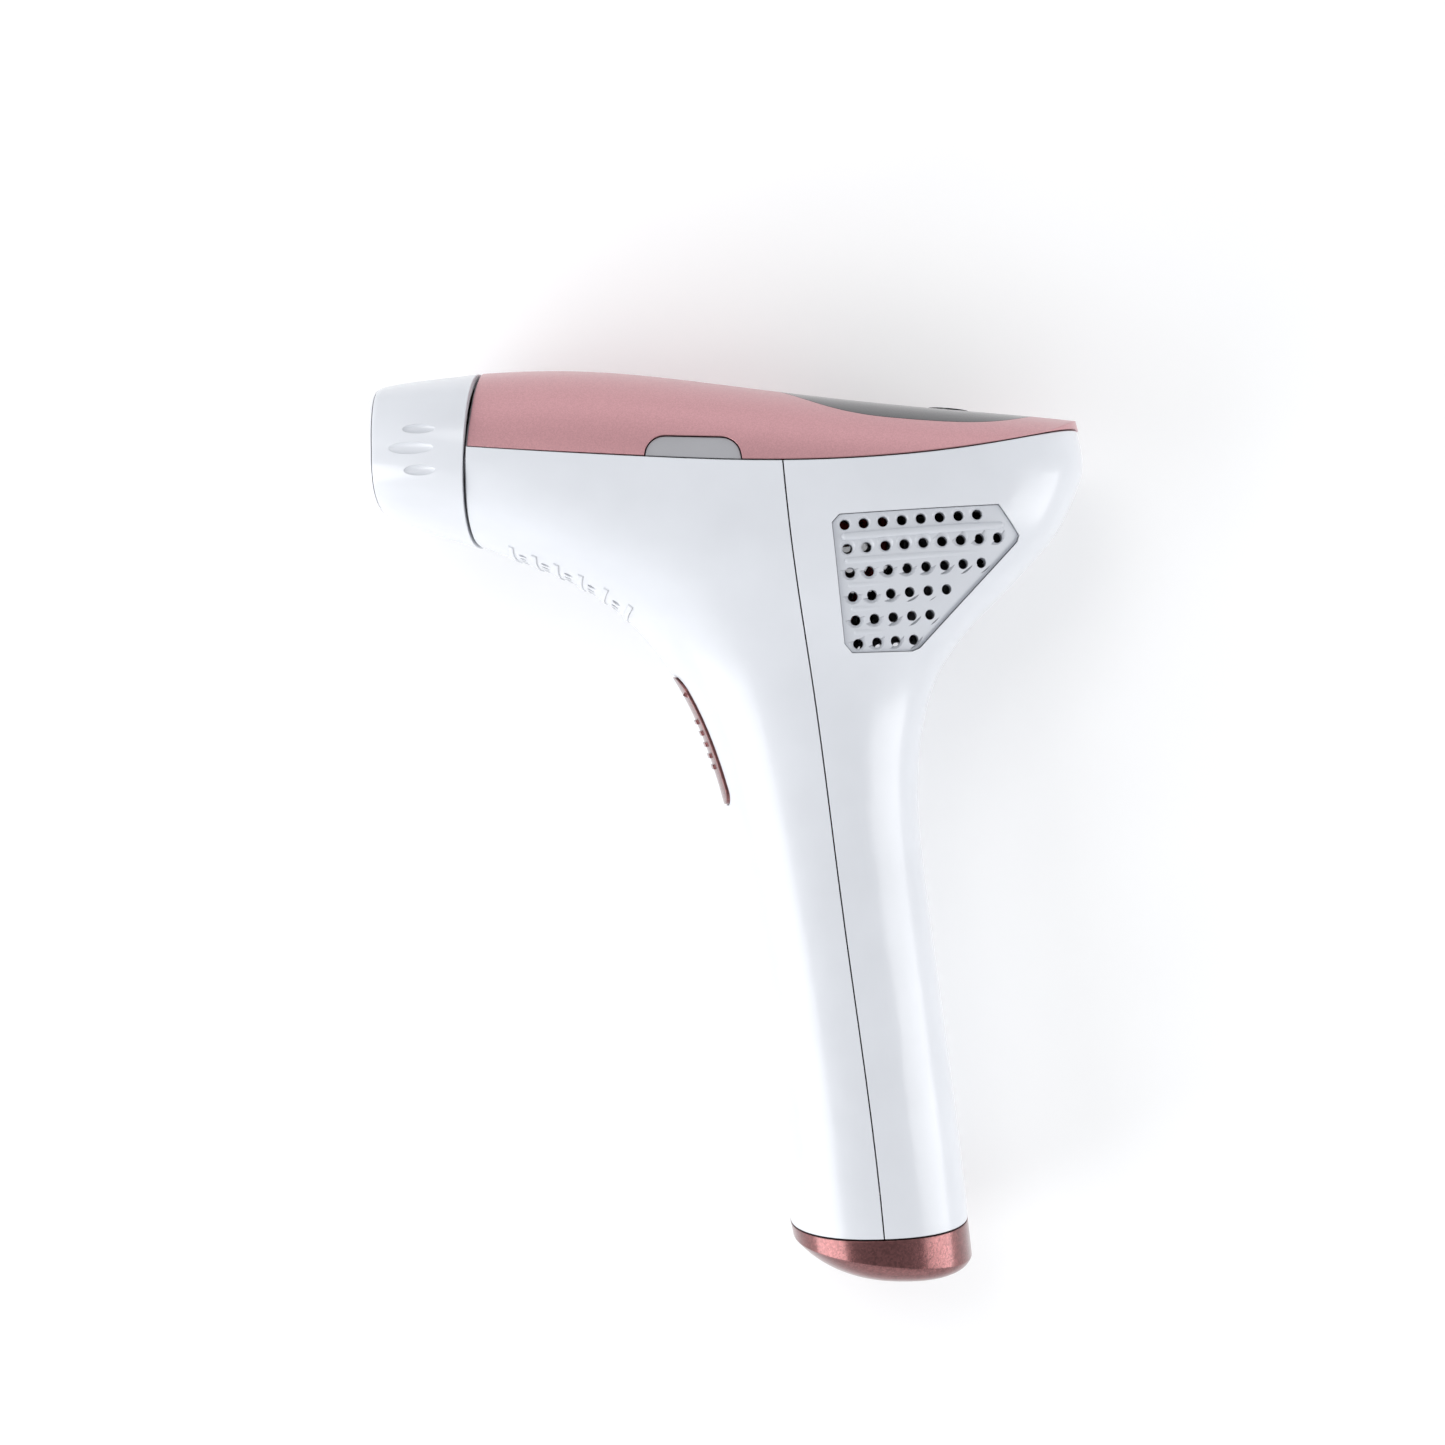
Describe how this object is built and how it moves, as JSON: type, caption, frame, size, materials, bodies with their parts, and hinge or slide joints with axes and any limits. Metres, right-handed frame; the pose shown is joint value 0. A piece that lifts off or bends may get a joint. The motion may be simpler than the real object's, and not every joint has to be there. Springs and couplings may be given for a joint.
{
  "type": "ipl hair remover",
  "caption": "Handheld pulsed-light hair remover with a pull-off lamp head, hollow casing, finger trigger, side release buttons, air grilles and a cooling fan.",
  "frame": {"origin": "middle of the side outline, at the underside of the device lying on its right side", "axes": "lamp head points along -X, handle along -Y, the device's left side along +Z"},
  "size_m": [0.1566, 0.2, 0.0621],
  "materials": {
    "white_shell": "glossy moulded plastic",
    "white_bezel": "glossy moulded plastic",
    "rose_metallic": "rose-gold metallic lacquer on plastic",
    "smoked_window": "smoked transparent plastic",
    "grey_button": "fine matte texture",
    "black_button": "gloss",
    "dark_gasket": "soft rubber",
    "inner_plastic": "plain moulded",
    "black_plastic": "plain moulded",
    "circuit_board": "solder mask",
    "filter_glass": "amber filter coating",
    "lamp_glass": "clear quartz",
    "bright_reflector": "mirror bright",
    "contact_metal": "polished",
    "brass": "plated",
    "steel": "zinc plated",
    "aluminium": "extruded",
    "ferrite": "ferrite core with taped winding",
    "coil_wrap": "lacquered winding",
    "display_block": "light box",
    "capacitor_sleeve": "shrink sleeve",
    "red_insulation": "wire insulation",
    "black_insulation": "wire insulation"
  },
  "bodies": {
    "casing": {"front_shell": "white_shell", "rear_shell": "white_shell", "top_cover": "rose_metallic", "display_window": "smoked_window", "bottom_cap": "rose_metallic", "neck_gasket": "dark_gasket", "vent_grille_left": "white_shell", "vent_grille_right": "white_shell", "cap_screws": "steel", "release_spring_left": "steel", "release_spring_right": "steel", "trigger_pin": "steel", "trigger_bracket": "inner_plastic", "trigger_board": "circuit_board", "trigger_switch": "black_plastic", "trigger_spring": "steel", "socket_frame": "inner_plastic", "socket_contacts": "brass", "heatsink": "aluminium", "fan_frame": "black_plastic", "fan_screws": "steel", "chassis": "inner_plastic", "power_board": "circuit_board", "transformer": "ferrite", "trigger_coil": "coil_wrap", "power_transistors": "black_plastic", "board_screws": "steel", "control_board": "circuit_board", "display_module": "display_block", "button_switch": "black_plastic", "capacitor": "capacitor_sleeve", "dc_jack": "black_plastic", "leads_power": "red_insulation", "leads_supply": "black_insulation", "leads_lamp": "red_insulation", "lead_trigger": "black_insulation"},
    "lamp_head": {"head_shell": "white_shell", "window_bezel": "white_bezel", "light_window": "filter_glass", "skin_sensor_pads": "contact_metal", "reflector": "bright_reflector", "flash_lamp": "lamp_glass", "lamp_electrodes": "contact_metal", "lamp_holder": "inner_plastic", "head_contacts": "brass"},
    "release_left": {"release_button_left": "grey_button"},
    "release_right": {"release_button_right": "grey_button"},
    "trigger": {"flash_trigger": "rose_metallic"},
    "plunger": {"switch_plunger": "black_plastic"},
    "power_key": {"power_button": "black_button"},
    "fan_wheel": {"fan_rotor": "black_plastic"}
  },
  "joints": [
    {"name": "lamp_head_pull", "type": "slide", "parent": "casing", "child": "lamp_head", "axis": [-1, 0, 0], "range_m": [0, 0.035]},
    {"name": "flash_trigger_press", "type": "hinge", "parent": "casing", "child": "trigger", "pos_m": [-0.00518, 0.0346, 0.03104], "axis": [0, 0, 1], "range_deg": [0, 2.5], "stiffness_Nm_per_rad": 0.8, "springref_deg": -2.86},
    {"name": "switch_plunger_press", "type": "slide", "parent": "casing", "child": "plunger", "axis": [1, 0, 0], "range_m": [0, 0.0009]},
    {"name": "release_left_press", "type": "slide", "parent": "casing", "child": "release_left", "axis": [0, 0, -1], "range_m": [0, 0.0015], "stiffness_N_per_m": 1500, "springref_m": -0.001, "deforming": ["release_spring_left"]},
    {"name": "release_right_press", "type": "slide", "parent": "casing", "child": "release_right", "axis": [0, 0, 1], "range_m": [0, 0.0015], "stiffness_N_per_m": 1500, "springref_m": -0.001, "deforming": ["release_spring_right"]},
    {"name": "power_button_press", "type": "slide", "parent": "casing", "child": "power_key", "axis": [0, -1, 0], "range_m": [0, 0.0005], "stiffness_N_per_m": 4000, "springref_m": -0.0003},
    {"name": "fan_spin", "type": "hinge", "parent": "casing", "child": "fan_wheel", "pos_m": [0.01102, 0.066, 0.03104], "axis": [1, 0, 0], "continuous": true}
  ],
  "couplings": [
    {"joint": "switch_plunger_press", "follows": "flash_trigger_press", "m_per_rad": 0.0204}
  ]
}
